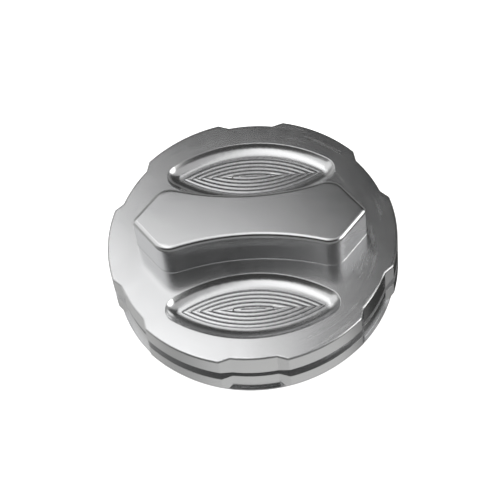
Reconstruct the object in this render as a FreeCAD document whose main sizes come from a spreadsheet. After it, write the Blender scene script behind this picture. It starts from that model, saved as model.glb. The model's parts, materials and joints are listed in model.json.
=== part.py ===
import FreeCAD, Part
import math
import os

import Sketcher
from FreeCAD import Placement, Rotation, Vector

# Fuel cap for a motorcycle tank, in millimetres.
# The origin is on the cap's axis at the sealing plane, where the gasket meets the rim of the filler neck.
# +Z points up through the cap and +X along the grip.

os.makedirs("parts", exist_ok=True)
doc = FreeCAD.newDocument("fuel_cap")
sheet = doc.addObject("Spreadsheet::Sheet", "sizes")

SIZES = {
    # cap body, seen from above
    "skirt_wall": 5.8,
    "recess_inset": 1.55,
    "recess_count": 6,
    "recess_floor_angle": 9.3,
    "recess_mouth_angle": 12.8,
    # cap body, side profile, measured down from the top face
    "flange_height": 5.5,
    "groove_depth": 3.4,
    "belt_bottom": 13.2,
    "belt_chamfer": 0.8,
    "skirt_height": 15.1,
    "recess_depth": 14.6,
    "rim_round": 0.4,
    # cavity under the disc
    "ceiling_thickness": 3.8,
    "ledge_height": 2.7,
    "ledge_width": 3.2,
    # grip
    "grip_tip": 30.5,
    "grip_bevel_angle": 52.0,
    "grip_tip_round": 1.5,
    "grip_shoulder_round": 4.9,
    "grip_waist": 6.6,
    "grip_waist_radius": 65.0,
    "grip_height": 10.8,
    "grip_edge_round": 1.2,
    # finger pockets: two arcs about centres on the Y axis, widened by a flat margin and a curved cove
    "pocket_centre": 20.75,
    "pocket_half_length": 18.3,
    "pocket_arc_offset": 27.16,
    "pocket_margin": 0.8,
    "pocket_cove": 3.31,
    "pocket_depth": 1.5,
    "rib_pitch": 1.17,
    "rib_groove_width": 0.46,
    "rib_groove_depth": 0.3,
    "rib_centre_length": 3.4,
    # threaded plug
    "flange_hold": 1.8,
    "turning_gap": 0.3,
    "flange_play": 0.3,
    "flange_thickness": 1.9,
    "thread_radius": 22.5,
    "thread_depth": 1.0,
    "thread_pitch": 4.0,
    "pilot_bottom": 3.4,
    "thread_runout": 2.2,
    "plug_wall": 3.0,
    "plug_lip": 1.6,
    "web_thickness": 2.9,
    "vent_circle": 5.0,
    "vent_radius": 1.2,
    "key_radius": 1.4,
    "key_inset": 2.2,
    # gasket and retaining ring
    "gasket_gap": 0.3,
    "gasket_width": 3.7,
    "gasket_bevel": 0.8,
    "gasket_relief": 0.3,
    "retainer_gap": 0.4,
    "retainer_fit": 0.2,
    "retainer_thickness": 1.8,
    "retainer_screw_radius": 1.0,
    # ratchet
    "ratchet_teeth": 36,
    "ratchet_band": 3.6,
    "tooth_depth": 1.2,
    "ratchet_thickness": 1.6,
    "dowel_inset": 1.2,
    "dowel_radius": 0.8,
    "pawl_ring_width": 4.7,
    "pawl_thickness": 1.4,
    "pawl_clearance": 0.5,
    "pawl_arm_gap": 1.4,
    "pawl_arm_width": 1.4,
    "washer_gap": 1.0,
    "washer_width": 3.5,
    "filter_gap": 2.0,
    "filter_thickness": 1.1,
    # pressure valve, vacuum valve and roll-over ball
    "housing_fit": 0.2,
    "housing_wall": 2.3,
    "seat_height": 6.0,
    "floor_thickness": 3.8,
    "seat_bore": 6.0,
    "ball_seat_bore": 2.4,
    "ball_radius": 3.5,
    "ball_travel": 2.0,
    "cage_inner": 4.0,
    "cage_wall": 1.3,
    "plate_radius": 12.0,
    "plate_thickness": 1.2,
    "plate_seal": 1.0,
    "stem_radius": 1.0,
    "vacuum_head_radius": 4.5,
    "spring_radius": 9.0,
    "spring_wire": 0.45,
    "cover_thickness": 1.5,
    "cover_screw_inset": 1.2,
    "cover_hole_circle": 9.5,
    "cover_hole_radius": 1.6,
    "clip_gap": 0.05,
    "clip_thickness": 1.0,
}


class Size:
    """A length or angle: its value now, and the spreadsheet expression that keeps it live."""

    def __init__(self, value, text):
        self.value = float(value)
        self.text = text

    def __add__(self, other):
        other = size(other)
        return Size(self.value + other.value, f"({self.text} + {other.text})")

    def __sub__(self, other):
        other = size(other)
        return Size(self.value - other.value, f"({self.text} - {other.text})")

    def __mul__(self, other):
        other = size(other)
        return Size(self.value * other.value, f"({self.text} * {other.text})")

    def __truediv__(self, other):
        other = size(other)
        return Size(self.value / other.value, f"({self.text} / {other.text})")

    def __neg__(self):
        return Size(-self.value, f"(0 - {self.text})")

    __radd__ = __add__
    __rmul__ = __mul__

    def __rsub__(self, other):
        return size(other) - self


def size(thing):
    """A Size from a spreadsheet name, a plain number or another Size."""
    if isinstance(thing, Size):
        return thing
    if isinstance(thing, str):
        return Size(SIZES[thing], f"sizes.{thing}")
    return Size(thing, f"{thing:.6f}" if thing >= 0 else f"(0 - {-thing:.6f})")


def root(a):
    a = size(a)
    return Size(math.sqrt(a.value), f"sqrt({a.text})")


def sine(a):
    a = size(a)
    return Size(math.sin(math.radians(a.value)), f"sin({a.text})")


def cosine(a):
    a = size(a)
    return Size(math.cos(math.radians(a.value)), f"cos({a.text})")


def polar(radius, angle):
    """The point at a radius and an angle in degrees."""
    return size(radius) * cosine(angle), size(radius) * sine(angle)


def bind(thing, path, value):
    """Set a property of a document object from a Size and keep it bound to the spreadsheet."""
    thing.setExpression(path, size(value).text)


for row, (name, number) in enumerate(SIZES.items(), start=1):
    sheet.set(f"A{row}", name)
    sheet.set(f"B{row}", str(number))
    sheet.setAlias(f"B{row}", name)
doc.recompute()


def draw(sketch, points, radii=None):
    """Draw a closed outline through points (pairs of Size), bound to the sheet.

    radii maps a segment's index to (radius, side): that segment is an arc, bulging to the left of its direction
    when side is 1 and to the right when side is -1.
    """
    radii = radii or {}
    first = sketch.GeometryCount
    corners = [(size(x), size(y)) for x, y in points]
    count = len(corners)
    for i, (x, y) in enumerate(corners):
        nx, ny = corners[(i + 1) % count]
        a = Vector(x.value, y.value, 0)
        b = Vector(nx.value, ny.value, 0)
        if i in radii:
            radius, side = radii[i]
            r = size(radius).value
            chord = b - a
            half = chord.Length / 2
            sagitta = r - math.sqrt(max(r * r - half * half, 0))
            left = Vector(-chord.y, chord.x, 0).normalize()
            middle = (a + b) / 2 + left * (side * sagitta)
            sketch.addGeometry(Part.Arc(a, middle, b), False)
        else:
            sketch.addGeometry(Part.LineSegment(a, b), False)

    def start_of(i):
        """The vertex number, 1 or 2, that segment i starts from: an arc always runs anticlockwise."""
        return 2 if i in radii and radii[i][1] > 0 else 1

    for i in range(count):
        j = (i + 1) % count
        end = 3 - start_of(i)
        sketch.addConstraint(Sketcher.Constraint("Coincident", first + i, end, first + j, start_of(j)))
    for i, (x, y) in enumerate(corners):
        for axis, line, value in (("DistanceX", -2, x), ("DistanceY", -1, y)):
            if abs(value.value) < 1e-9:
                sketch.addConstraint(Sketcher.Constraint("PointOnObject", first + i, start_of(i), line))
                continue
            n = sketch.addConstraint(Sketcher.Constraint(axis, -1, 1, first + i, start_of(i), value.value))
            sketch.setExpression(f"Constraints[{n}]", value.text)
        if i in radii:
            radius = size(radii[i][0])
            n = sketch.addConstraint(Sketcher.Constraint("Radius", first + i, radius.value))
            sketch.setExpression(f"Constraints[{n}]", radius.text)


def draw_circle(sketch, x, y, radius):
    """A circle bound to the sheet."""
    x, y, radius = size(x), size(y), size(radius)
    g = sketch.addGeometry(Part.Circle(Vector(x.value, y.value, 0), Vector(0, 0, 1), radius.value), False)
    n = sketch.addConstraint(Sketcher.Constraint("Radius", g, radius.value))
    sketch.setExpression(f"Constraints[{n}]", radius.text)
    if abs(x.value) < 1e-9 and abs(y.value) < 1e-9:
        sketch.addConstraint(Sketcher.Constraint("Coincident", g, 3, -1, 1))
        return
    for axis, line, value in (("DistanceX", -2, x), ("DistanceY", -1, y)):
        if abs(value.value) < 1e-9:
            sketch.addConstraint(Sketcher.Constraint("PointOnObject", g, 3, line))
            continue
        n = sketch.addConstraint(Sketcher.Constraint(axis, -1, 1, g, 3, value.value))
        sketch.setExpression(f"Constraints[{n}]", value.text)


def new_body(label):
    body = doc.addObject("PartDesign::Body", label)
    body.Label = label
    return body


def plane_sketch(body, name, role, height=None):
    """A sketch on one of a body's own origin planes, raised to a height when one is given."""
    sketch = body.newObject("Sketcher::SketchObject", name)
    plane = [f for f in body.Origin.OriginFeatures if f.Role == role][0]
    sketch.AttachmentSupport = [(plane, "")]
    sketch.MapMode = "FlatFace"
    if height is not None:
        bind(sketch, "AttachmentOffset.Base.z", height)
    return sketch


def turned(label, points, radii=None):
    """A body turned from a half section: points are (radius, height)."""
    body = new_body(label)
    sketch = plane_sketch(body, label + "_section", "XZ_Plane")
    draw(sketch, points, radii)
    feature = body.newObject("PartDesign::Revolution", label + "_turn")
    feature.Profile = sketch
    feature.ReferenceAxis = (sketch, ["V_Axis"])
    feature.Angle = 360.0
    doc.recompute()
    return body


def padded(body, sketch, height):
    feature = body.newObject("PartDesign::Pad", sketch.Name + "_pad")
    feature.Profile = sketch
    bind(feature, "Length", height)
    doc.recompute()
    return feature


def cut_down(body, sketch, depth):
    """Pocket from a sketch plane downwards, with a check that it really removed material."""
    before = body.Shape.Volume
    feature = body.newObject("PartDesign::Pocket", sketch.Name + "_cut")
    feature.Profile = sketch
    bind(feature, "Length", depth)
    doc.recompute()
    if feature.Shape.Volume >= before - 1e-6:
        raise RuntimeError(sketch.Name + " cuts nothing")
    return feature


def around(body, feature, count):
    """Repeat a feature evenly about the cap's axis."""
    pattern = body.newObject("PartDesign::PolarPattern", feature.Name + "_around")
    pattern.Originals = [feature]
    axis = [f for f in body.Origin.OriginFeatures if f.Role == "Z_Axis"][0]
    pattern.Axis = (axis, [""])
    pattern.Angle = 360.0
    bind(pattern, "Occurrences", count)
    body.Tip = pattern
    doc.recompute()
    return pattern


# heights upwards from the cap body's ledge: the plug's flange and web, the pawls, the cavity's ceiling, the top
ledge = size("ledge_height")
flange_bottom = ledge + "flange_play"
flange_top = flange_bottom + "flange_thickness"
web_bottom = flange_top - "web_thickness"
ceiling = flange_top + "pawl_thickness" + "pawl_clearance"
top = ceiling + "ceiling_thickness"
skirt_end = top - "skirt_height"

# radii outwards from the neck's thread: gasket, retaining ring, flange, the cap body's ledge, its wall
gasket_inner = size("thread_radius") + "gasket_gap"
gasket_outer = gasket_inner + "gasket_width"
retainer_inner = gasket_outer + "retainer_gap"
flange_radius = retainer_inner + "flange_hold"
bearing_radius = flange_radius + "turning_gap"
cavity_radius = bearing_radius + "ledge_width"
retainer_outer = cavity_radius - "retainer_fit"
retainer_screw_circle = bearing_radius + size("ledge_width") * 0.5
disc_radius = cavity_radius + "skirt_wall"
recess_radius = disc_radius - "recess_inset"

# radii inwards from the cap body's bore: ratchet, pawls, washer, filter
dowel_circle = bearing_radius - "dowel_inset"
ratchet_crest = bearing_radius - "ratchet_band"
ratchet_root = ratchet_crest + "tooth_depth"
pawl_arm_outer = ratchet_crest - "pawl_arm_gap"
pawl_arm_inner = pawl_arm_outer - "pawl_arm_width"
pawl_ring_outer = pawl_arm_inner - "pawl_arm_gap"
pawl_ring_inner = pawl_ring_outer - "pawl_ring_width"
key_circle = pawl_ring_outer - "key_inset"
washer_outer = pawl_ring_inner - "washer_gap"
washer_inner = washer_outer - "washer_width"
filter_radius = washer_inner - "filter_gap"

# radii inwards from the plug's thread: barrel, bore, valve housing
thread_core = size("thread_radius") - "thread_depth"
plug_bore = thread_core - "plug_wall"
housing_outer = plug_bore - "housing_fit"
housing_inner = housing_outer - "housing_wall"
cover_screw_circle = housing_outer - "cover_screw_inset"

# heights downwards from the valve's seat: floor, ball, cover, clip, the plug's end
floor_bottom = size("seat_height") + "floor_thickness"
ball = size("ball_radius")
ball_closed = -floor_bottom - root(ball * ball - size("ball_seat_bore") * "ball_seat_bore")
ball_rest = ball_closed - "ball_travel"
cover_top = ball_rest - ball
clip_top = cover_top - "cover_thickness" - "clip_gap"
clip_bottom = clip_top - "clip_thickness"
plug_end = clip_bottom - "plug_lip"


def cap_blank():
    """The turned disc with its V groove, its six edge recesses and the grip, before the finger pockets."""
    radius = disc_radius
    depth = size("groove_depth")
    belt_top = top - "flange_height" - depth
    lip = radius - "belt_chamfer"
    body = turned(
        "cap_blank",
        [
            (0, top),
            (radius, top),
            (radius, top - "flange_height"),
            (radius - depth, belt_top),
            (radius, belt_top),
            (radius, top - "belt_bottom"),
            (lip, top - "belt_bottom" - "belt_chamfer"),
            (lip, skirt_end),
            (cavity_radius, skirt_end),
            (cavity_radius, ledge),
            (bearing_radius, ledge),
            (bearing_radius, ceiling),
            (0, ceiling),
        ],
    )
    add_grip(body)
    add_recesses(body)
    round_rim(body)
    add_screw_holes(body)
    return body


def grip_outline():
    """A quarter of the grip's outline, from the tip to the waist, and the radii of its arcs."""
    angle = size("grip_bevel_angle")
    tip_round = size("grip_tip_round")
    shoulder = size("grip_shoulder_round")
    waist = size("grip_waist_radius")
    s, c = sine(angle), cosine(angle)
    # tip: an arc tangent to the two bevels
    tip_centre = size("grip_tip") - tip_round / s
    tip_end = (tip_centre + tip_round * s, tip_round * c)
    # shoulder: an arc tangent to the bevel and to the concave waist arc
    waist_centre = size("grip_waist") + waist
    ox = size("grip_tip") - shoulder * s
    oy = -(shoulder * c) - waist_centre
    b = oy * s - ox * c
    reach = waist + shoulder
    along = root(b * b - ox * ox - oy * oy + reach * reach) * -1 - b
    fx = ox - along * c
    fy = oy + along * s
    bevel_end = (fx + shoulder * s, fy + waist_centre + shoulder * c)
    scale = waist / reach
    shoulder_end = (fx * scale, fy * scale + waist_centre)
    return (tip_centre + tip_round, size(0)), tip_end, bevel_end, shoulder_end


def add_grip(body):
    tip, tip_end, bevel_end, shoulder_end = grip_outline()
    sketch = plane_sketch(body, "grip_outline", "XY_Plane", top)
    quarter = [tip_end, bevel_end, shoulder_end]
    points = []
    for mx, my, order in ((1, 1, quarter), (-1, 1, quarter[::-1]), (-1, -1, quarter), (1, -1, quarter[::-1])):
        points += [(x * mx, y * my) for x, y in order]
    tip_round = size("grip_tip_round")
    shoulder = size("grip_shoulder_round")
    waist = size("grip_waist_radius")
    radii = {}
    for i in (0, 6):
        radii[i + 1] = (shoulder, -1)
        radii[i + 2] = (waist, 1)
        radii[i + 3] = (shoulder, -1)
        radii[i + 5] = (tip_round, -1)
    draw(sketch, points, radii)
    pad = padded(body, sketch, size("grip_height"))
    body.Tip = pad
    edges = []
    level = (top + "grip_height").value
    for i, edge in enumerate(pad.Shape.Edges, start=1):
        if all(abs(v.Z - level) < 1e-4 for v in edge.Vertexes) and abs(edge.CenterOfMass.z - level) < 1e-4:
            edges.append(f"Edge{i}")
    rounding = body.newObject("PartDesign::Fillet", "grip_edge")
    rounding.Base = (pad, edges)
    bind(rounding, "Radius", "grip_edge_round")
    doc.recompute()


def add_recesses(body):
    """One shallow recess milled into the edge from above, stopping short of the base lip, then repeated."""
    sketch = plane_sketch(body, "recess_outline", "XY_Plane", top)
    floor, mouth = size("recess_floor_angle"), size("recess_mouth_angle")
    start = size(90)
    # the flanks run on past the disc, so that the cutter's outer side lies well outside it
    outside = disc_radius + size("recess_inset") * 2
    wide = mouth + (mouth - floor) * 2
    points = [
        polar(recess_radius, start - floor),
        polar(recess_radius, start + floor),
        polar(outside, start + wide),
        polar(outside, start - wide),
    ]
    draw(sketch, points, {0: (recess_radius, -1)})
    cut = cut_down(body, sketch, "recess_depth")
    around(body, cut, "recess_count")


def round_rim(body):
    """Round the top edge over the rim, in and out of the recesses."""
    recess = recess_radius.value - 0.1
    base = body.Tip
    edges = []
    for i, edge in enumerate(base.Shape.Edges, start=1):
        on_top = all(abs(v.Z - top.value) < 1e-4 for v in edge.Vertexes)
        outside = all(math.hypot(v.X, v.Y) > recess for v in edge.Vertexes)
        if on_top and outside and abs(edge.CenterOfMass.z - top.value) < 1e-4:
            edges.append(f"Edge{i}")
    rounding = body.newObject("PartDesign::Fillet", "rim_edge")
    rounding.Base = (base, edges)
    bind(rounding, "Radius", "rim_round")
    body.Tip = rounding
    doc.recompute()


def add_screw_holes(body):
    """Blind holes for the retaining ring's screws and for the ratchet's dowels, opened from below."""
    sketch = plane_sketch(body, "retainer_holes", "XY_Plane", ledge)
    x, y = polar(retainer_screw_circle, 30)
    draw_circle(sketch, x, y, "retainer_screw_radius")
    before = body.Shape.Volume
    hole = body.newObject("PartDesign::Pocket", "retainer_hole")
    hole.Profile = sketch
    hole.Reversed = True
    hole.Length = 3.5
    doc.recompute()
    if hole.Shape.Volume >= before - 1e-6:
        raise RuntimeError("the retainer's screw hole cuts nothing")
    around(body, hole, 6)
    sketch = plane_sketch(body, "dowel_holes", "XY_Plane", ceiling)
    for angle in DOWEL_ANGLES:
        x, y = polar(dowel_circle, angle)
        draw_circle(sketch, x, y, "dowel_radius")
    before = body.Shape.Volume
    hole = body.newObject("PartDesign::Pocket", "dowel_hole")
    hole.Profile = sketch
    hole.Reversed = True
    hole.Length = DOWEL_GRIP
    doc.recompute()
    if hole.Shape.Volume >= before - 1e-6:
        raise RuntimeError("the dowel holes cut nothing")
    body.Tip = hole


DOWEL_ANGLES = (15, 165, 195, 345)
DOWEL_GRIP = 2.0


def loose_sketch(name, points, radii=None):
    sketch = doc.addObject("Sketcher::SketchObject", name)
    draw(sketch, points, radii)
    return sketch


def common(name, a, b):
    both = doc.addObject("Part::Common", name)
    both.Base = a
    both.Tool = b
    return both


def mirrored(name, source):
    """The same shape on the other side of the XZ plane."""
    other = doc.addObject("Part::Mirroring", name)
    other.Source = source
    other.Normal = Vector(0, 1, 0)
    return other


def pocket_tool():
    """What the cutter removes for one finger pocket, about the pocket's own centre at the disc's face.

    The floor is the lens between two arcs with a flat margin round it. A cove rises from the margin to the face: it
    is turned about each arc's centre and about each tip. The ribs are what stays between V grooves that run parallel
    to both arcs, with one short straight groove in the middle.
    """
    half, offset = size("pocket_half_length"), size("pocket_arc_offset")
    depth = size("pocket_depth")
    arc = root(half * half + offset * offset)

    # the side of the pocket that belongs to one arc, cut off square to the arc at both tips
    run = size(0.7)
    side = loose_sketch(
        "pocket_side",
        [
            (-half, 0),
            (-(half + half * run), -(offset * run)),
            (half + half * run, -(offset * run)),
            (half, 0),
        ],
    )
    slab = upright("pocket_slab", side, 2, depth * 2)
    sweep = turned_section("cove_ring", [cove_section(arc)])
    bind(sweep, "Placement.Base.y", offset)
    cove_near = common("cove_near", sweep, slab)
    cove_far = mirrored("cove_far", cove_near)

    tips = []
    for name, sign in (("cove_tip_left", -1), ("cove_tip_right", 1)):
        tip = turned_section(name, [cove_section(size(0))])
        bind(tip, "Placement.Base.x", half * sign)
        tips.append(tip)

    lens = loose_sketch("pocket_lens", [(-half, 0), (half, 0)], {0: (arc, -1), 1: (arc, -1)})
    floor = upright("pocket_floor", lens, 1, depth)

    # the V grooves, drawn in the vertical plane through the arcs' centre
    pitch, width, deep = size("rib_pitch"), size("rib_groove_width"), size("rib_groove_depth")
    sections = []
    for k in range(RIB_GROOVES):
        middle = arc - pitch * k
        sections.append(
            (
                [
                    (middle - width * 0.75, deep * 0.5 - depth),
                    (middle, -(deep + depth)),
                    (middle + width * 0.75, deep * 0.5 - depth),
                ],
                None,
            )
        )
    rings = turned_section("rib_rings", sections)
    bind(rings, "Placement.Base.y", offset)
    ribs_near = common("ribs_near", rings, slab)
    ribs_far = mirrored("ribs_far", ribs_near)

    # the middle: an oval groove round one short straight groove with pointed ends
    oval = oval_groove((arc - offset) * 0.163, offset)
    long = size("rib_centre_length")
    bar = doc.addObject("Part::Wedge", "centre_groove")
    bar.Placement.Rotation = Rotation(Vector(1, 0, 0), -90)
    for path, value in (
        ("Xmin", -long),
        ("Xmax", long),
        ("Zmin", -(width * 0.75)),
        ("Zmax", width * 0.75),
        ("Ymin", depth - deep * 0.5),
        ("Ymax", depth + deep),
        ("X2min", width * 0.75 - long),
        ("X2max", long - width * 0.75),
        ("Z2min", size(-0.001)),
        ("Z2max", size(0.001)),
    ):
        bind(bar, path, value)
    doc.recompute()
    return [cove_near, cove_far] + tips + [floor, ribs_near, ribs_far, oval, bar]


def oval_groove(reach, offset):
    """The innermost V groove: it follows both arcs and turns round at each end instead of meeting in a point."""
    width, deep, depth = size("rib_groove_width"), size("rib_groove_depth"), size("pocket_depth")
    arc = offset + reach
    bend = reach * 0.57
    centre = root((arc - bend) * (arc - bend) - offset * offset)
    grow = arc / (arc - bend)
    x, y = centre * grow, offset * grow - offset
    body = new_body("oval_groove")
    line = plane_sketch(body, "oval_line", "XY_Plane")
    draw(
        line,
        [(0, -reach), (x, -y), (x, y), (-x, y), (-x, -y)],
        {0: (arc, -1), 1: (bend, -1), 2: (arc, -1), 3: (bend, -1), 4: (arc, -1)},
    )
    section = plane_sketch(body, "oval_section", "YZ_Plane")
    draw(
        section,
        [
            (-(reach + width * 0.75), deep * 0.5 - depth),
            (-reach, -(deep + depth)),
            (width * 0.75 - reach, deep * 0.5 - depth),
        ],
    )
    groove = body.newObject("PartDesign::AdditivePipe", "oval_sweep")
    groove.Profile = section
    groove.Spine = (line, [f"Edge{i + 1}" for i in range(5)])
    doc.recompute()
    return body


def cove_section(reach):
    """Half section of the space over a floor that ends at a radius: flat margin, then a cove up to the face."""
    margin, cove, depth = size("pocket_margin"), size("pocket_cove"), size("pocket_depth")
    bend = (cove * cove + depth * depth) / (depth * 2)
    points = [
        (0, -depth),
        (reach + margin, -depth),
        (reach + margin + cove, 0),
        (reach + margin + cove, 1),
        (0, 1),
    ]
    return points, {1: (bend, -1)}


def turned_section(name, sections):
    """A solid turned about the vertical axis from closed half sections given as (points, radii)."""
    sketch = doc.addObject("Sketcher::SketchObject", name + "_section")
    sketch.Placement = Placement(Vector(), Rotation(Vector(1, 0, 0), 90))
    for points, radii in sections:
        draw(sketch, points, radii)
    solid = doc.addObject("Part::Revolution", name)
    solid.Source = sketch
    solid.Axis = Vector(0, 0, 1)
    solid.Base = Vector(0, 0, 0)
    solid.Angle = 360.0
    solid.Solid = True
    return solid


def upright(name, sketch, above, below):
    """A flat outline drawn out above and below its own plane."""
    solid = doc.addObject("Part::Extrusion", name)
    solid.Base = sketch
    solid.DirMode = "Custom"
    solid.Dir = Vector(0, 0, 1)
    solid.Solid = True
    bind(solid, "LengthFwd", above)
    bind(solid, "LengthRev", below)
    return solid


RIB_GROOVES = 4


def cap_body():
    blank = cap_blank()
    tools = pocket_tool()
    cutter = doc.addObject("Part::MultiFuse", "pocket_cutter")
    cutter.Shapes = tools
    bind(cutter, "Placement.Base.y", -size("pocket_centre"))
    bind(cutter, "Placement.Base.z", top)
    other = mirrored("pocket_cutter_far", cutter)
    near = doc.addObject("Part::Cut", "near_pocket")
    near.Base = blank
    near.Tool = cutter
    body = doc.addObject("Part::Cut", "cap_body")
    body.Label = "cap_body"
    body.Base = near
    body.Tool = other
    doc.recompute()
    return body


def ratchet_ring():
    """A steel ring pressed into the cap body, with saw teeth that face inwards."""
    body = new_body("ratchet_ring")
    sketch = plane_sketch(body, "ratchet_blank", "XY_Plane", ceiling - "ratchet_thickness")
    draw_circle(sketch, 0, 0, bearing_radius)
    draw_circle(sketch, 0, 0, ratchet_crest)
    for angle in DOWEL_ANGLES:
        x, y = polar(dowel_circle, angle)
        draw_circle(sketch, x, y, "dowel_radius")
    padded(body, sketch, "ratchet_thickness")
    pitch = size(360) / "ratchet_teeth"
    inside = ratchet_crest - 0.6
    gap = plane_sketch(body, "tooth_gap", "XY_Plane", ceiling)
    draw(
        gap,
        [
            polar(inside, 0),
            polar(ratchet_root, 0),
            polar(ratchet_crest, pitch * 0.9),
            polar(inside, pitch * 0.9),
        ],
    )
    cut = cut_down(body, gap, "ratchet_thickness")
    around(body, cut, "ratchet_teeth")
    return body


def dowels():
    """Four dowels that key the ratchet ring to the cap body."""
    body = new_body("ratchet_dowels")
    sketch = plane_sketch(body, "dowel_outline", "XY_Plane", ceiling - "ratchet_thickness")
    for angle in DOWEL_ANGLES:
        x, y = polar(dowel_circle, angle)
        draw_circle(sketch, x, y, "dowel_radius")
    padded(body, sketch, size("ratchet_thickness") + DOWEL_GRIP)
    return body


def retaining_ring():
    """The flat ring under the plug's flange that holds the cap body on the plug."""
    body = new_body("retaining_ring")
    sketch = plane_sketch(body, "retainer_outline", "XY_Plane", ledge - "retainer_thickness")
    draw_circle(sketch, 0, 0, retainer_outer)
    draw_circle(sketch, 0, 0, retainer_inner)
    for k in range(RETAINER_SCREWS):
        x, y = polar(retainer_screw_circle, 30 + 60 * k)
        draw_circle(sketch, x, y, "retainer_screw_radius")
    padded(body, sketch, "retainer_thickness")
    return body


RETAINER_SCREWS = 6


def retaining_screws():
    """Six small cheese-head screws, each with a hexagon socket, that hold the retaining ring."""
    body = new_body("retaining_screws")
    below = ledge - "retainer_thickness"
    x, y = polar(retainer_screw_circle, 30)
    head = plane_sketch(body, "screw_head", "XY_Plane", below - 0.8)
    draw_circle(head, x, y, size("retainer_screw_radius") * 1.5)
    padded(body, head, 0.8)
    shank = plane_sketch(body, "screw_shank", "XY_Plane", below - 0.1)
    draw_circle(shank, x, y, "retainer_screw_radius")
    padded(body, shank, size("retainer_thickness") + 3.4)
    socket = plane_sketch(body, "screw_socket", "XY_Plane", below - 0.3)
    across = size("retainer_screw_radius") * 0.85
    draw(socket, [(x + across * cosine(60 * k), y + across * sine(60 * k)) for k in range(6)])
    cut = cut_down(body, socket, 0.6)
    return screws_around(body, "retaining_screws", RETAINER_SCREWS)


def screws_around(body, label, count):
    """Copies of one screw about the cap's axis, as one group of separate solids."""
    body.Label = label + "_one"
    copies = []
    for k in range(count):
        copy = doc.addObject("Part::Feature", f"{label}_{k + 1}")
        one = body.Shape.copy()
        one.rotate(Vector(), Vector(0, 0, 1), 360.0 / count * k)
        copy.Shape = one
        copies.append(copy)
    group = doc.addObject("Part::Compound", label + "_set")
    group.Links = copies
    group.Label = label
    doc.recompute()
    return group


def plug():
    """The threaded plug: flange, barrel, web with vent holes, and a bore for the valve housing."""
    flange = flange_radius
    thread = size("thread_radius")
    core = thread_core
    end = plug_end
    bore = plug_bore
    body = turned(
        "plug",
        [
            (0, flange_top),
            (flange - 0.4, flange_top),
            (flange, flange_top - 0.4),
            (flange, flange_bottom),
            (thread - "gasket_relief", flange_bottom),
            (thread - "gasket_relief", PILOT_TOP),
            (thread, PILOT_TOP),
            (thread, -size("pilot_bottom")),
            (core, -(size("pilot_bottom") + "thread_depth")),
            (core, end + 1.0),
            (core - 1.0, end),
            (bore + 0.4, end),
            (bore, end + 0.4),
            (bore, clip_bottom),
            (bore + 0.7, clip_bottom),
            (bore + 0.7, clip_top),
            (bore, clip_top),
            (bore, web_bottom),
            (0, web_bottom),
        ],
    )
    holes = plane_sketch(body, "vent_hole", "XY_Plane", flange_top)
    draw_circle(holes, "vent_circle", 0, "vent_radius")
    vent = cut_down(body, holes, flange_top - web_bottom)
    around(body, vent, 4)
    key = plane_sketch(body, "pawl_key", "XY_Plane", flange_top - 0.2)
    x, y = polar(key_circle, 60)
    draw_circle(key, x, y, "key_radius")
    boss = padded(body, key, size("pawl_thickness") + 0.1)
    around(body, boss, 3)
    return body


# the plain land above the thread ends just inside the gasket, whose bore clears a shallow relief
PILOT_TOP = 0.1


def thread_ridges(barrel):
    """Two helical ridges, half a pitch apart, joined to the plug's barrel."""
    core = thread_core.value
    crest = SIZES["thread_radius"]
    pitch = SIZES["thread_pitch"]
    low = plug_end.value + SIZES["thread_runout"]
    high = -SIZES["pilot_bottom"] - 1.6
    turns = (high - low) / pitch
    foot = 0.15
    wide, narrow = 0.85, 0.35
    ridges = []
    for start in (0.0, 180.0):
        spine = Part.makeHelix(pitch, high - low, core)
        section = Part.makePolygon(
            [
                Vector(core - foot, 0, -wide),
                Vector(crest, 0, -narrow),
                Vector(crest, 0, narrow),
                Vector(core - foot, 0, wide),
                Vector(core - foot, 0, -wide),
            ]
        )
        ridge = Part.Wire(spine).makePipeShell([section], True, True)
        ridge.rotate(Vector(), Vector(0, 0, 1), start)
        ridge.translate(Vector(0, 0, low))
        ridges.append(ridge)
    print("thread turns", round(turns, 2), [r.isValid() for r in ridges])
    whole = barrel.Shape.fuse(ridges)
    body = doc.addObject("Part::Feature", "plug_threaded")
    body.Shape = whole
    return body


def neck_gasket():
    inner, outer = gasket_inner, gasket_outer
    height = flange_bottom
    return turned(
        "neck_gasket",
        [
            (inner, "gasket_bevel"),
            (inner + "gasket_bevel", 0),
            (outer - 0.6, 0),
            (outer, 0.6),
            (outer, height),
            (inner, height),
        ],
    )


def pawl_ring():
    """A ring keyed to the plug, with three sprung arms that end in pawls."""
    body = new_body("pawl_ring")
    base = flange_top
    sketch = plane_sketch(body, "pawl_hub", "XY_Plane", base)
    draw_circle(sketch, 0, 0, pawl_ring_outer)
    draw_circle(sketch, 0, 0, pawl_ring_inner)
    for k in range(3):
        x, y = polar(key_circle, 60 + 120 * k)
        draw_circle(sketch, x, y, size("key_radius") + 0.1)
    padded(body, sketch, "pawl_thickness")
    pitch = size(360) / "ratchet_teeth"
    inner, outer = pawl_arm_inner, pawl_arm_outer
    tip = ratchet_root - 0.65
    heel = ratchet_crest - 0.15
    arm = plane_sketch(body, "pawl_arm", "XY_Plane", base)
    draw(
        arm,
        [
            polar(pawl_ring_outer - 0.5, -58),
            polar(pawl_ring_outer - 0.5, -48),
            polar(inner, -48),
            polar(inner, pitch * 0.72),
            polar(heel, pitch * 0.72),
            polar(tip, pitch * 0.18),
            polar(tip, pitch * 0.07),
            polar(outer, pitch * 0.07),
            polar(outer, -58),
        ],
        {2: (inner, -1), 7: (outer, 1)},
    )
    pad = padded(body, arm, "pawl_thickness")
    around(body, pad, 3)
    return body


def thrust_washer():
    low, high = flange_top, ceiling - 0.1
    inner, outer = washer_inner, washer_outer
    return turned("thrust_washer", [(inner, low), (outer, low), (outer, high), (inner, high)])


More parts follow.
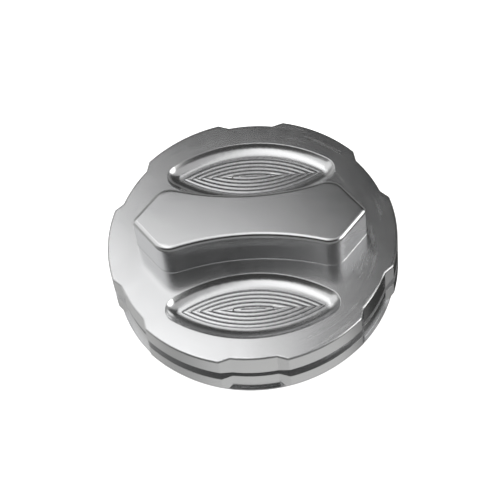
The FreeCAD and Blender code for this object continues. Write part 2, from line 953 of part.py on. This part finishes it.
def vent_filter():
    low = flange_top
    high = low + "filter_thickness"
    return turned("vent_filter", [(0, low), (filter_radius, low), (filter_radius, high), (0, high)])


def valve_housing():
    """The cup that carries the valve seat, with the cage for the roll-over ball below its floor."""
    outer, inner = housing_outer, housing_inner
    upper = web_bottom
    lower = cover_top
    seat = -size("seat_height")
    under = -floor_bottom
    cage = size("cage_inner")
    wall = cage + "cage_wall"
    body = turned(
        "valve_housing",
        [
            (inner, upper),
            (outer, upper),
            (outer, O_RING_TOP),
            (outer - 1.18, O_RING_TOP),
            (outer - 1.18, O_RING_TOP - 2.0),
            (outer, O_RING_TOP - 2.0),
            (outer, lower),
            (inner, lower),
            (inner, under),
            (wall, under),
            (wall, lower + 0.8),
            (cage, lower + 0.8),
            (cage, under),
            ("ball_seat_bore", under),
            ("ball_seat_bore", under + 1.2),
            ("seat_bore", under + 1.2),
            ("seat_bore", seat),
            (size("seat_bore") + 1.0, seat),
            (size("seat_bore") + 1.3, seat - 0.3),
            (inner, seat - 0.3),
        ],
    )
    slot = plane_sketch(body, "cage_slot", "XY_Plane", under - 2.0)
    draw(slot, [(cage - 1.0, -1.2), (wall + 0.6, -1.2), (wall + 0.6, 1.2), (cage - 1.0, 1.2)])
    cut = cut_down(body, slot, (under - 2.0) - (lower + 0.8) + 1.0)
    around(body, cut, 3)
    hole = plane_sketch(body, "cover_screw_hole", "XY_Plane", lower + 4.0)
    x, y = polar(cover_screw_circle, 90)
    draw_circle(hole, x, y, 0.8)
    cut = cut_down(body, hole, 4.0)
    around(body, cut, 3)
    return body


O_RING_TOP = -3.0


def housing_o_ring():
    body = doc.addObject("Part::Torus", "housing_o_ring")
    bind(body, "Radius1", housing_outer - 0.5)
    body.Radius2 = 0.68
    body.Placement.Base.z = O_RING_TOP - 1.0
    doc.recompute()
    return body


def lower_cover():
    """The perforated disc that closes the housing and that the ball rests on."""
    body = new_body("lower_cover")
    level = cover_top - "cover_thickness"
    sketch = plane_sketch(body, "cover_outline", "XY_Plane", level)
    draw_circle(sketch, 0, 0, housing_outer)
    for k in range(3):
        x, y = polar(cover_screw_circle, 90 + 120 * k)
        draw_circle(sketch, x, y, 0.8)
    for k in range(6):
        x, y = polar("cover_hole_circle", 30 + 60 * k)
        draw_circle(sketch, x, y, "cover_hole_radius")
    padded(body, sketch, "cover_thickness")
    return body


def cover_screws():
    body = new_body("cover_screws")
    level = cover_top - "cover_thickness"
    x, y = polar(cover_screw_circle, 90)
    sketch = plane_sketch(body, "cover_screw", "XY_Plane", level)
    draw_circle(sketch, x, y, 0.8)
    padded(body, sketch, size("cover_thickness") + 3.8)
    return screws_around(body, "cover_screws", 3)


def housing_clip():
    """The open spring ring that snaps into the plug's bore under the cover."""
    body = new_body("housing_clip")
    bore = plug_bore
    sketch = plane_sketch(body, "clip_outline", "XY_Plane", clip_bottom)
    draw_circle(sketch, 0, 0, bore + 0.6)
    draw_circle(sketch, 0, 0, bore - 1.5)
    padded(body, sketch, "clip_thickness")
    gap = plane_sketch(body, "clip_opening", "XY_Plane", clip_top)
    draw(gap, [(-2.0, -(bore + 2.0)), (2.0, -(bore + 2.0)), (2.0, -(bore - 4.0)), (-2.0, -(bore - 4.0))])
    cut_down(body, gap, "clip_thickness")
    for sign in (-1, 1):
        ear = plane_sketch(body, f"clip_ear_{sign + 2}", "XY_Plane", clip_bottom)
        draw_circle(ear, 3.6 * sign, -(bore - 2.2), 1.5)
        draw_circle(ear, 3.6 * sign, -(bore - 2.6), 0.6)
        padded(body, ear, "clip_thickness")
    return body


# heights on the valve plate
seal_top = -size("seat_height") + "plate_seal"
plate_top = seal_top + "plate_thickness"
spring_stop = web_bottom
stem_top = plate_top + 3.2


def pressure_plate():
    """The plate that lifts off its seat when the tank's pressure rises."""
    r = size("plate_radius")
    body = turned(
        "pressure_plate",
        [
            (size("stem_radius") + 0.2, seal_top),
            (r - 0.4, seal_top),
            (r, seal_top + 0.4),
            (r, plate_top),
            (r - 1.0, plate_top),
            (size("stem_radius") + 0.2, plate_top),
        ],
    )
    sketch = plane_sketch(body, "breather_hole", "XY_Plane", plate_top)
    draw_circle(sketch, 2.8, 0, 0.55)
    cut = cut_down(body, sketch, "plate_thickness")
    around(body, cut, 4)
    return body


def pressure_seal():
    inner, outer = size("seat_bore") - 0.4, size("seat_bore") + 3.0
    seat = -size("seat_height")
    return turned("pressure_seal", [(inner, seat), (outer, seat), (outer, seal_top), (inner, seal_top)])


def coil(label, low, high, radius, wire, turns):
    """A helical spring of round wire between two heights."""
    low, high, wire = size(low), size(high), size(wire)
    helix = doc.addObject("Part::Helix", label + "_line")
    helix.SegmentLength = 0.5
    rise = high - low - wire * 2
    bind(helix, "Height", rise)
    bind(helix, "Pitch", rise / turns)
    bind(helix, "Radius", radius)
    bind(helix, "Placement.Base.z", low + wire)
    section = doc.addObject("Part::Circle", label + "_wire")
    bind(section, "Radius", wire)
    section.Placement.Rotation = Rotation(Vector(1, 0, 0), 90)
    bind(section, "Placement.Base.x", radius)
    bind(section, "Placement.Base.z", low + wire)
    doc.recompute()
    body = doc.addObject("Part::Sweep", label)
    body.Sections = [section]
    body.Spine = (helix, [f"Edge{i + 1}" for i in range(len(helix.Shape.Edges))])
    body.Solid = True
    body.Frenet = True
    doc.recompute()
    return body


def vacuum_poppet():
    """The small valve under the plate, on a stem that passes up through it."""
    stem = size("stem_radius")
    head = size("vacuum_head_radius")
    rubber = seal_top - 0.8
    return turned(
        "vacuum_poppet",
        [
            (0, rubber - 1.2),
            (head - 0.4, rubber - 1.2),
            (head, rubber - 0.8),
            (head, rubber),
            (stem, rubber),
            (stem, stem_top - 0.6),
            (stem - 0.3, stem_top - 0.6),
            (stem - 0.3, stem_top),
            (0, stem_top),
        ],
    )


def vacuum_seal():
    inner, outer = size("stem_radius") + 0.2, size("vacuum_head_radius") - 0.3
    return turned(
        "vacuum_seal", [(inner, seal_top - 0.8), (outer, seal_top - 0.8), (outer, seal_top), (inner, seal_top)]
    )


def stem_clip():
    inner = size("stem_radius") - 0.3
    level = stem_top - 0.6
    return turned("stem_clip", [(inner, level), (2.6, level), (2.6, stem_top), (inner, stem_top)])


def rollover_ball():
    body = doc.addObject("Part::Sphere", "rollover_ball")
    bind(body, "Radius", "ball_radius")
    bind(body, "Placement.Base.z", ball_rest)
    doc.recompute()
    return body


def threaded_plug():
    barrel = plug()
    barrel.Label = "plug_barrel"
    body = thread_ridges(barrel)
    body.Label = "plug"
    return body


NODES = [
    cap_body(),
    ratchet_ring(),
    dowels(),
    retaining_ring(),
    retaining_screws(),
    threaded_plug(),
    neck_gasket(),
    pawl_ring(),
    thrust_washer(),
    vent_filter(),
    valve_housing(),
    housing_o_ring(),
    lower_cover(),
    cover_screws(),
    housing_clip(),
    pressure_plate(),
    pressure_seal(),
    coil("pressure_spring", plate_top, spring_stop, "spring_radius", "spring_wire", 3.5),
    vacuum_poppet(),
    vacuum_seal(),
    coil("vacuum_spring", plate_top, stem_top - 0.6, 1.7, 0.2, 4.5),
    stem_clip(),
    rollover_ball(),
]
doc.recompute()

for thing in doc.Objects:
    if "Invalid" in thing.State or "Error" in thing.State:
        raise RuntimeError(f"{thing.Name} failed to compute: {thing.State}")
for node in NODES:
    if node.Shape.isNull() or not node.Shape.isValid() or not node.Shape.Solids:
        raise RuntimeError(f"{node.Label} has no valid solid")
for node in NODES:
    node.Shape.exportStep(f"parts/{node.Label}.step")
    print(node.Label, len(node.Shape.Solids), "solids", round(node.Shape.Volume, 1), "mm3")
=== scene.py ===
import json
import math

import bpy
from mathutils import Matrix, Vector


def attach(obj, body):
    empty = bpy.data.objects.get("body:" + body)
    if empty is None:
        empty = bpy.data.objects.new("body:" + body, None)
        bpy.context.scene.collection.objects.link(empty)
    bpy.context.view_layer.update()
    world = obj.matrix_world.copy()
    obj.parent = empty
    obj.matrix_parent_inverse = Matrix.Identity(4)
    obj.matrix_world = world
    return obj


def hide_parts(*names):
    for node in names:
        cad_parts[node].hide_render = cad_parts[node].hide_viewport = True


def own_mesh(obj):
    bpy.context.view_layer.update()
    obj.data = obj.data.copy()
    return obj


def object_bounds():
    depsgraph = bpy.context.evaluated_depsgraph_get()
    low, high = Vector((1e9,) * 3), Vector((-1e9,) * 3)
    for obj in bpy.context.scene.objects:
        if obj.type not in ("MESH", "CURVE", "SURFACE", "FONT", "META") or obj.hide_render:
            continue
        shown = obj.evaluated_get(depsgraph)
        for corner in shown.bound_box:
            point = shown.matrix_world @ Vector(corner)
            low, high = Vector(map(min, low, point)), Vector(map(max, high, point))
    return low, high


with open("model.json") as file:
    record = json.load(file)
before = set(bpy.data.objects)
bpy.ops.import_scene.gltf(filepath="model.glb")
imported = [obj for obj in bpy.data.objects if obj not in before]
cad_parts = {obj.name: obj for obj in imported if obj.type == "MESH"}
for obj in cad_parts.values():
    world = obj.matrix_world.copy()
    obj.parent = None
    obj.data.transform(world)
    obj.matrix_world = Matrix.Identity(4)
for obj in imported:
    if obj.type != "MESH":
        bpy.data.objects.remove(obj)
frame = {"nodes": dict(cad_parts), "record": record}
nodes = frame["nodes"]
cad_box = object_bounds()
scene = bpy.context.scene

# ---------------------------------------------------------------- places on the cap, in metres
TOP = 0.0106                 # height of the disc's top face
FLOOR = cad_box[0].z         # the cap stands on the end of its plug
GRIP_FADE = (TOP + 0.0004, TOP + 0.0012)    # between these heights the disc's finish turns into the grip's
RIM_START = 0.0352           # the disc's outer edge is rounded more widely outside this radius
RIM_END = TOP - 0.0012       # and above this height
# the two finger pockets: from the middle to a pocket's centre, the radius that holds both, and heights
POCKET_CENTRE = 0.02075
POCKET_RADIUS = 0.031
POCKET_START = TOP - 0.0002
POCKET_FLOOR = TOP - 0.0013
POCKET_END = TOP - 0.0020
# their rib grooves are arcs: from a pocket's centre to an arc's, the outermost arc's radius, step to the next
ARC_OFFSET = 0.02716
ARC_RADIUS = 0.03275
RIB_PITCH = 0.00117
RIB_TOP = TOP - 0.0015
# heights over which the rib grooves' bottoms get painted shade in their colour
GROOVE_PAINTED_SHADE = (RIB_TOP - 0.00022, RIB_TOP - 0.00012)    # full below the first height, none above the second

# ---------------------------------------------------------------- camera, at the photograph's view
CAMERA_AZIMUTH = math.radians(5.874)        # from the front towards the right
CAMERA_ELEVATION = math.radians(56.562)
CAMERA_ROLL = math.radians(7.747)
CAMERA_DISTANCE = 0.4808                    # from the middle of the disc's top face, in metres
CAMERA_LENS = 132.45                        # focal length and sensor width, in millimetres
CAMERA_SENSOR = 36.0
CAMERA_SHIFT = (-0.00375, -0.0249)          # the photograph's framing


def make_camera():
    back = Vector((math.sin(CAMERA_AZIMUTH) * math.cos(CAMERA_ELEVATION),
                   -math.cos(CAMERA_AZIMUTH) * math.cos(CAMERA_ELEVATION),
                   math.sin(CAMERA_ELEVATION)))
    right = Vector((math.cos(CAMERA_AZIMUTH), math.sin(CAMERA_AZIMUTH), 0))
    up = back.cross(right)
    rolled_right = right * math.cos(CAMERA_ROLL) - up * math.sin(CAMERA_ROLL)
    rolled_up = right * math.sin(CAMERA_ROLL) + up * math.cos(CAMERA_ROLL)
    data = bpy.data.cameras.new("camera")
    data.sensor_width = CAMERA_SENSOR
    data.lens = CAMERA_LENS
    data.shift_x, data.shift_y = CAMERA_SHIFT
    data.clip_start = 0.01
    data.clip_end = 20.0
    camera = bpy.data.objects.new("camera", data)
    scene.collection.objects.link(camera)
    rotation = Matrix((rolled_right, rolled_up, back)).transposed().to_4x4()
    camera.matrix_world = Matrix.Translation(Vector((0, 0, TOP)) + back * CAMERA_DISTANCE) @ rotation
    scene.camera = camera


make_camera()


# ---------------------------------------------------------------- node helpers
class Nodes:
    """Short ways to add and join shader nodes in one new material, or in a world."""

    def __init__(self, name, world=None):
        self.material = world or bpy.data.materials.new(name)
        self.material.use_nodes = True
        self.tree = self.material.node_tree
        self.tree.nodes.clear()
        self.output = self.add("ShaderNodeOutputWorld" if world else "ShaderNodeOutputMaterial")
        self.coords = self.add("ShaderNodeTexCoord")

    def add(self, kind, **settings):
        node = self.tree.nodes.new(kind)
        for key, value in settings.items():
            setattr(node, key, value)
        return node

    def join(self, source, target):
        self.tree.links.new(source, target)

    def put(self, socket, value):
        if isinstance(value, bpy.types.NodeSocket):
            self.join(value, socket)
        else:
            socket.default_value = value

    def math(self, operation, a, b=None, clamp=False):
        node = self.add("ShaderNodeMath", operation=operation, use_clamp=clamp)
        self.put(node.inputs[0], a)
        if b is not None:
            self.put(node.inputs[1], b)
        return node.outputs[0]

    def plus(self, a, b, clamp=False):
        return self.math("ADD", a, b, clamp)

    def minus(self, a, b):
        return self.math("SUBTRACT", a, b)

    def times(self, a, b):
        return self.math("MULTIPLY", a, b)

    def above(self, value, limit):
        return self.math("GREATER_THAN", value, limit)

    def below(self, value, limit):
        return self.math("LESS_THAN", value, limit)

    def length(self, a, b):
        return self.math("SQRT", self.plus(self.times(a, a), self.times(b, b)))

    def mixed(self, a, share, b):
        """That share of a, and the rest of b."""
        return self.plus(self.times(a, share), self.times(b, round(1 - share, 3)))

    def split(self, vector):
        """x, y and z of a vector."""
        node = self.add("ShaderNodeSeparateXYZ")
        self.join(vector, node.inputs[0])
        return node.outputs

    def vector(self, x, y, z):
        node = self.add("ShaderNodeCombineXYZ")
        for socket, value in zip(node.inputs, (x, y, z)):
            self.put(socket, value)
        return node.outputs[0]

    def scaled(self, x=1.0, y=1.0, z=1.0):
        """The object's coordinates, scaled by one factor per axis."""
        node = self.add("ShaderNodeMapping")
        node.inputs["Scale"].default_value = (x, y, z)
        self.join(self.coords.outputs["Object"], node.inputs["Vector"])
        return node.outputs[0]

    def noise(self, vector, scale, detail=2.0, roughness=0.5, distortion=0.0):
        node = self.add("ShaderNodeTexNoise")
        self.put(node.inputs["Vector"], vector)
        node.inputs["Scale"].default_value = scale
        node.inputs["Detail"].default_value = detail
        node.inputs["Roughness"].default_value = roughness
        node.inputs["Distortion"].default_value = distortion
        return node.outputs["Fac"]

    def streaks(self, vector):
        """Fine marks, drawn out along the axes on which the vector is scaled least."""
        return self.noise(vector, 1.0, 3.0, 0.6)

    def span(self, value, low, high, to_low=0.0, to_high=1.0, smooth=False):
        node = self.add("ShaderNodeMapRange")
        node.interpolation_type = "SMOOTHSTEP" if smooth else "LINEAR"
        self.put(node.inputs["Value"], value)
        for key, number in (("From Min", low), ("From Max", high), ("To Min", to_low), ("To Max", to_high)):
            self.put(node.inputs[key], number)
        return node.outputs["Result"]

    def ramp(self, value, stops):
        node = self.add("ShaderNodeValToRGB")
        self.put(node.inputs["Fac"], value)
        elements = node.color_ramp.elements
        while len(elements) < len(stops):
            elements.new(0.5)
        for element, (position, colour) in zip(elements, stops):
            element.position = position
            element.color = (*colour, 1.0)
        return node.outputs["Color"]

    def blend(self, factor, a, b):
        node = self.add("ShaderNodeMix", data_type="FLOAT")
        self.put(node.inputs[0], factor)
        self.put(node.inputs[2], a)
        self.put(node.inputs[3], b)
        return node.outputs[0]

    def bump(self, height, strength, distance, normal=None):
        node = self.add("ShaderNodeBump")
        node.inputs["Strength"].default_value = strength
        node.inputs["Distance"].default_value = distance
        self.put(node.inputs["Height"], height)
        if normal is not None:
            self.join(normal, node.inputs["Normal"])
        return node.outputs["Normal"]

    def soft_edges(self, radius):
        node = self.add("ShaderNodeBevel")
        node.samples = 6
        self.put(node.inputs["Radius"], radius)
        return node.outputs["Normal"]

    def surface(self, colour, roughness, normal=None, **sockets):
        """A Principled surface; sockets are its other inputs, with _ for a space in their names."""
        shader = self.add("ShaderNodeBsdfPrincipled")
        self.put(shader.inputs["Base Color"], colour)
        self.put(shader.inputs["Roughness"], roughness)
        if normal is not None:
            self.join(normal, shader.inputs["Normal"])
        for key, value in sockets.items():
            shader.inputs[key.replace("_", " ")].default_value = value
        self.join(shader.outputs[0], self.output.inputs["Surface"])
        return self.material


# ---------------------------------------------------------------- materials
# noise scales, per metre: across a tool mark and along a straight one. Round the cap, waves for each radian.
ACROSS_MARKS = 5200.0
ALONG_MARKS = 60.0
WAVES_ON_DISC = 1.2
WAVES_ON_SIDE = 1.5
# radii over which edges are rounded by shading: on the disc's and grip's edges, in and below the pockets, at the rim
EDGE_ROUND = 0.00030
FINE_ROUND = 0.00008
RIM_ROUND = 0.00070


def rib_beads(m, x, y, z):
    """Rounded ridges between the pockets' rib grooves, as a height from 0 to 1."""
    across = m.math("ABSOLUTE", m.minus(m.math("ABSOLUTE", y), POCKET_CENTRE))
    inwards = m.minus(ARC_RADIUS, m.length(x, m.plus(across, ARC_OFFSET)))
    swing = m.minus(m.times(m.math("FRACT", m.math("DIVIDE", inwards, RIB_PITCH)), 2.0), 1.0)
    inside = m.times(m.above(inwards, 0.0), m.below(z, POCKET_FLOOR))
    return m.times(m.minus(1.0, m.times(swing, swing)), inside)


def disc_scuffs(m, x, radius, angle):
    """Faint scuffs that follow the turning, outside on the disc's right side, from 0 to 0.06."""
    scuff = m.noise(m.vector(m.times(radius, 700.0), m.times(angle, 2.2), 3.7), 1.0, 4.0, 0.65)
    outside = m.times(m.span(radius, 0.024, 0.030, smooth=True), m.span(x, 0.0, 0.015, smooth=True))
    return m.times(outside, m.span(scuff, 0.52, 0.68, 0.0, 0.06, smooth=True))


def billet():
    """Machined and fine-brushed aluminium: turning rings on the disc, lines along the grip, rings round the edge."""
    m = Nodes("billet")
    x, y, z = m.split(m.coords.outputs["Object"])
    radius = m.length(x, y)
    angle = m.math("ARCTAN2", y, x)

    # which finish a point has: its height tells grip from disc, and its normal tells top from side
    normal_z = m.split(m.add("ShaderNodeNewGeometry").outputs["True Normal"])[2]
    on_top = m.span(m.math("ABSOLUTE", normal_z), 0.75, 0.95, smooth=True)
    on_grip = m.span(z, *GRIP_FADE, smooth=True)
    below_top = m.below(z, POCKET_START)
    over_pockets = m.times(m.below(radius, POCKET_RADIUS), m.above(z, POCKET_END))
    at_rim = m.times(m.above(radius, RIM_START), m.above(z, RIM_END))

    disc_rings = m.streaks(m.vector(m.times(radius, ACROSS_MARKS), m.times(angle, WAVES_ON_DISC), 0.0))
    side_rings = m.streaks(m.vector(m.times(z, ACROSS_MARKS), m.times(angle, WAVES_ON_SIDE), 0.0))
    grip_lines = m.streaks(m.scaled(ALONG_MARKS, ACROSS_MARKS, ALONG_MARKS))
    wall_lines = m.streaks(m.scaled(ALONG_MARKS, ALONG_MARKS, ACROSS_MARKS))
    marks = m.blend(on_top, m.blend(on_grip, side_rings, wall_lines), m.blend(on_grip, disc_rings, grip_lines))
    grain = m.noise(m.scaled(), 2600.0, 2.0, 0.6)
    cloud = m.noise(m.scaled(), 45.0, 4.0, 0.55)

    softened = m.soft_edges(m.blend(at_rim, m.blend(below_top, EDGE_ROUND, FINE_ROUND), RIM_ROUND))
    ribbed = m.bump(rib_beads(m, x, y, z), 1.0, 0.00005, softened)
    normal = m.bump(m.mixed(marks, 0.96, grain), 0.03, 0.000025, ribbed)

    rough = m.plus(m.span(cloud, 0.3, 0.7, 0.20, 0.25), m.span(marks, 0.2, 0.8, -0.025, 0.025))
    on_disc = m.times(on_top, m.minus(1.0, on_grip))
    rough = m.plus(rough, m.times(on_disc, disc_scuffs(m, x, radius, angle)))

    # the bottoms of the rib grooves are painted darker, down to the ramp's darkest stop: painted shade in the
    # grooves
    tone = m.plus(m.span(marks, 0.2, 0.8, 0.2, 0.6), m.span(cloud, 0.3, 0.7, 0.0, 0.4), clamp=True)
    painted_groove_shade = m.times(m.span(z, *GROOVE_PAINTED_SHADE, 1.0, 0.0), over_pockets)
    colour = m.ramp(m.times(tone, m.minus(1.0, painted_groove_shade)),
                    [(0.0, (0.24, 0.24, 0.242)), (0.2, (0.70, 0.705, 0.715)), (1.0, (0.80, 0.80, 0.805))])
    return m.surface(colour, rough, normal, Metallic=1.0)


def steel(name, colour, rough):
    """Drawn or ground metal, with streaks along z."""
    m = Nodes(name)
    streak = m.streaks(m.scaled(3500.0, 3500.0, 210.0))
    cloud = m.noise(m.scaled(), 120.0, 3.0, 0.6)
    dark = tuple(c * 0.8 for c in colour)
    tone = m.ramp(m.mixed(streak, 0.5, cloud), [(0.3, dark), (0.7, colour)])
    roughness = m.plus(m.span(cloud, 0.3, 0.7, rough - 0.05, rough + 0.05), m.span(streak, 0.3, 0.7, -0.03, 0.03))
    normal = m.bump(streak, 0.25, 0.00002, m.soft_edges(0.0001))
    return m.surface(tone, roughness, normal, Metallic=1.0)


def plastic(name, colour, rough):
    """Moulded plastic with a fine eroded texture and slight flow marks."""
    m = Nodes(name)
    texture = m.noise(m.scaled(), 1800.0, 3.0, 0.6)
    flow = m.noise(m.scaled(z=0.35), 90.0, 3.0, 0.5, 0.6)
    light = tuple(min(c * 1.35 + 0.004, 1.0) for c in colour)
    tone = m.ramp(m.mixed(texture, 0.35, flow), [(0.3, colour), (0.75, light)])
    roughness = m.span(m.mixed(texture, 0.5, flow), 0.3, 0.7, rough - 0.06, rough + 0.06)
    normal = m.bump(texture, 0.35, 0.00002, m.soft_edges(0.0001))
    return m.surface(tone, roughness, normal)


def rubber(name, colour):
    """Moulded rubber with a matt, slightly clouded skin."""
    m = Nodes(name)
    speck = m.noise(m.scaled(), 2400.0, 4.0, 0.65)
    bloom = m.noise(m.scaled(), 160.0, 3.0, 0.6)
    light = tuple(c * 1.9 + 0.006 for c in colour)
    tone = m.ramp(m.mixed(speck, 0.4, bloom), [(0.35, colour), (0.75, light)])
    roughness = m.span(bloom, 0.3, 0.7, 0.62, 0.8)
    normal = m.bump(speck, 0.5, 0.00003, m.soft_edges(0.00012))
    return m.surface(tone, roughness, normal)


def felt(name, colour):
    """Pressed fibres in clumps."""
    m = Nodes(name)
    fibre = m.noise(m.scaled(z=2.0), 1500.0, 5.0, 0.7, 1.2)
    clump = m.noise(m.scaled(), 350.0, 3.0, 0.6)
    light = tuple(min(c * 1.5, 1.0) for c in colour)
    tone = m.ramp(m.mixed(fibre, 0.6, clump), [(0.3, colour), (0.7, light)])
    normal = m.bump(fibre, 0.9, 0.00012)
    return m.surface(tone, m.span(clump, 0.3, 0.7, 0.85, 0.95), normal, Sheen_Weight=0.4)


FINISHES = {
    "billet": billet(),
    "tool_steel": steel("tool_steel", (0.36, 0.36, 0.37), 0.34),
    "plate_aluminium": steel("plate_aluminium", (0.68, 0.68, 0.69), 0.30),
    "screw_steel": steel("screw_steel", (0.50, 0.50, 0.51), 0.30),
    "plug_nylon": plastic("plug_nylon", (0.022, 0.022, 0.024), 0.46),
    "gasket_rubber": rubber("gasket_rubber", (0.012, 0.012, 0.012)),
    "pawl_plastic": plastic("pawl_plastic", (0.62, 0.61, 0.57), 0.38),
    "washer_plastic": plastic("washer_plastic", (0.74, 0.74, 0.72), 0.32),
    "filter_felt": felt("filter_felt", (0.24, 0.23, 0.21)),
    "housing_plastic": plastic("housing_plastic", (0.045, 0.045, 0.048), 0.42),
    "seal_rubber": rubber("seal_rubber", (0.016, 0.016, 0.016)),
    "spring_steel": steel("spring_steel", (0.55, 0.55, 0.56), 0.26),
    "valve_brass": steel("valve_brass", (0.70, 0.50, 0.24), 0.28),
    "ball_steel": steel("ball_steel", (0.62, 0.62, 0.63), 0.12),
}

for part in frame["record"]["subparts"]:
    materials = nodes[part["node"]].data.materials
    materials.clear()
    materials.append(FINISHES[part["material_slot"]])

# ---------------------------------------------------------------- springs as pieces of their own
# node: (body it rides on, joint that presses it together, height of its fixed end, travel), in metres
SPRINGS = {
    "pressure_spring": ("plug_side", "pressure_lift", 0.0020, 0.0015),
    "vacuum_spring": ("pressure_valve", "vacuum_open", -0.0038, 0.0010),
}


def coil(name):
    """A spring's own mesh as a new piece that rides on its body, in place of the spring's hidden node."""
    body, joint, fixed_end, travel = SPRINGS[name]
    piece = bpy.data.objects.new(name.replace("spring", "coil"), nodes[name].data.copy())
    scene.collection.objects.link(piece)
    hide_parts(name)
    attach(piece, body)
    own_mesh(piece)
    return piece


coils = [coil(name) for name in SPRINGS]

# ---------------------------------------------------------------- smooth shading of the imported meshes
SAME_POINT = 0.000002                 # the vertices of neighbouring CAD faces are joined within this, in metres
SHARP_EDGE = math.radians(24)         # an edge stays sharp where its faces meet at more than this


def shading_group():
    """Geometry nodes: join each CAD face's own vertices, and keep an edge sharp where its faces meet at an angle."""
    group = bpy.data.node_groups.new("smooth_by_angle", "GeometryNodeTree")
    for in_out in ("INPUT", "OUTPUT"):
        group.interface.new_socket("Geometry", in_out=in_out, socket_type="NodeSocketGeometry")
    start = group.nodes.new("NodeGroupInput")
    end = group.nodes.new("NodeGroupOutput")
    merge = group.nodes.new("GeometryNodeMergeByDistance")
    merge.inputs["Distance"].default_value = SAME_POINT
    smooth = group.nodes.new("GeometryNodeSetShadeSmooth")
    smooth.domain = "FACE"
    smooth.inputs["Shade Smooth"].default_value = True
    angle = group.nodes.new("GeometryNodeInputMeshEdgeAngle")
    over = group.nodes.new("FunctionNodeCompare")
    over.data_type = "FLOAT"
    over.operation = "GREATER_THAN"
    over.inputs[1].default_value = SHARP_EDGE
    sharp = group.nodes.new("GeometryNodeSetShadeSmooth")
    sharp.domain = "EDGE"
    sharp.inputs["Shade Smooth"].default_value = False
    for source, target in (
            (start.outputs[0], merge.inputs["Geometry"]),
            (merge.outputs[0], smooth.inputs["Geometry"]),
            (smooth.outputs[0], sharp.inputs["Geometry"]),
            (angle.outputs["Unsigned Angle"], over.inputs[0]),
            (over.outputs[0], sharp.inputs["Selection"]),
            (sharp.outputs[0], end.inputs[0])):
        group.links.new(source, target)
    return group


SHADING = shading_group()
for shown in list(nodes.values()) + coils:
    modifier = shown.modifiers.new("smooth_by_angle", "NODES")
    modifier.node_group = SHADING
    weighted = shown.modifiers.new("weighted_normals", "WEIGHTED_NORMAL")
    weighted.keep_sharp = True
    weighted.weight = 80

# ---------------------------------------------------------------- floor and light
FLOOR_HALF = 6.0
# soft panels in one plane above the cap: their sides as (left, right, front, back) in metres, and radiance
PANEL_HEIGHT = 0.52
PANELS = {
    "panel_main": ((-0.177, -0.010, -0.198, 0.331), 1.37),
    "panel_back": ((-0.420, -0.115, 0.333, 0.430), 1.05),
    "panel_left": ((-1.238, -0.177, -0.234, 0.333), 0.62),
    "panel_right": ((-0.010, 0.671, -0.208, 0.182), 0.44),
}
# light from lower directions: (azimuth from the front towards the right, elevation, half width of the bright
# core and of the whole lobe, all in degrees, and level)
LOBES = {
    "left_wall": (252, 32, 40, 48, 0.23),
    "right_wall": (75, 28, 5, 26, 3.0),
    "table_left": (245, -37, 13, 48, 0.52),
    "table_front": (14, -74, 22, 37, 0.58),
}
# pale walls all round: half height of the bright band at the horizon and of its fading edge, in degrees, and level
HORIZON = (12, 31, 0.22)
AMBIENT = 0.035
WALL_COLOUR = (1.0, 1.0, 0.985, 1.0)


def make_floor():
    """A plain pale floor, seen by the camera but not mirrored in the metal."""
    m = Nodes("floor")
    tone = m.ramp(m.noise(m.scaled(), 30.0), [(0.0, (0.92, 0.92, 0.92)), (1.0, (0.93, 0.93, 0.93))])
    material = m.surface(tone, 0.7, Emission_Strength=1.0, Emission_Color=(1.0, 1.0, 1.0, 1.0),
                         Specular_IOR_Level=0.0)
    mesh = bpy.data.meshes.new("floor")
    corners = ((-1, -1), (1, -1), (1, 1), (-1, 1))
    mesh.from_pydata([(x * FLOOR_HALF, y * FLOOR_HALF, FLOOR) for x, y in corners], [], [(0, 1, 2, 3)])
    mesh.materials.append(material)
    plane = bpy.data.objects.new("floor", mesh)
    scene.collection.objects.link(plane)
    plane.visible_glossy = False


def panel(name, sides, radiance):
    """A rectangular area light that faces down; its power in watts follows from the radiance of its face."""
    left, right, front, back = sides
    data = bpy.data.lights.new(name, "AREA")
    data.shape = "RECTANGLE"
    data.size = right - left
    data.size_y = back - front
    data.energy = radiance * math.pi * data.size * data.size_y
    light = bpy.data.objects.new(name, data)
    scene.collection.objects.link(light)
    light.location = ((left + right) / 2, (front + back) / 2, TOP + PANEL_HEIGHT)
    light.visible_camera = False


def studio_world():
    """The lobes and the band at the horizon, as glows that depend on the direction alone."""
    world = bpy.data.worlds.new("studio")
    scene.world = world
    m = Nodes("studio", world)
    direction = m.coords.outputs["Generated"]
    total = AMBIENT
    for azimuth, elevation, core, reach, level in LOBES.values():
        azimuth, elevation, core, reach = (math.radians(angle) for angle in (azimuth, elevation, core, reach))
        dot = m.add("ShaderNodeVectorMath", operation="DOT_PRODUCT")
        m.join(direction, dot.inputs[0])
        dot.inputs[1].default_value = (math.sin(azimuth) * math.cos(elevation),
                                       -math.cos(azimuth) * math.cos(elevation),
                                       math.sin(elevation))
        glow = m.span(dot.outputs["Value"], math.cos(reach), math.cos(core), 0.0, level, smooth=True)
        total = m.plus(glow, total)
    core, reach, level = HORIZON
    band = m.span(m.math("ABSOLUTE", m.split(direction)[2]), math.sin(math.radians(reach)),
                  math.sin(math.radians(core)), 0.0, level, smooth=True)
    background = m.add("ShaderNodeBackground")
    background.inputs["Color"].default_value = WALL_COLOUR
    m.join(m.plus(band, total), background.inputs["Strength"])
    m.join(background.outputs[0], m.output.inputs["Surface"])


make_floor()
for name, (sides, radiance) in PANELS.items():
    panel(name, sides, radiance)
studio_world()

scene.view_settings.view_transform = "Standard"
scene.view_settings.look = "None"
scene.view_settings.exposure = 0.0
scene.view_settings.gamma = 1.0
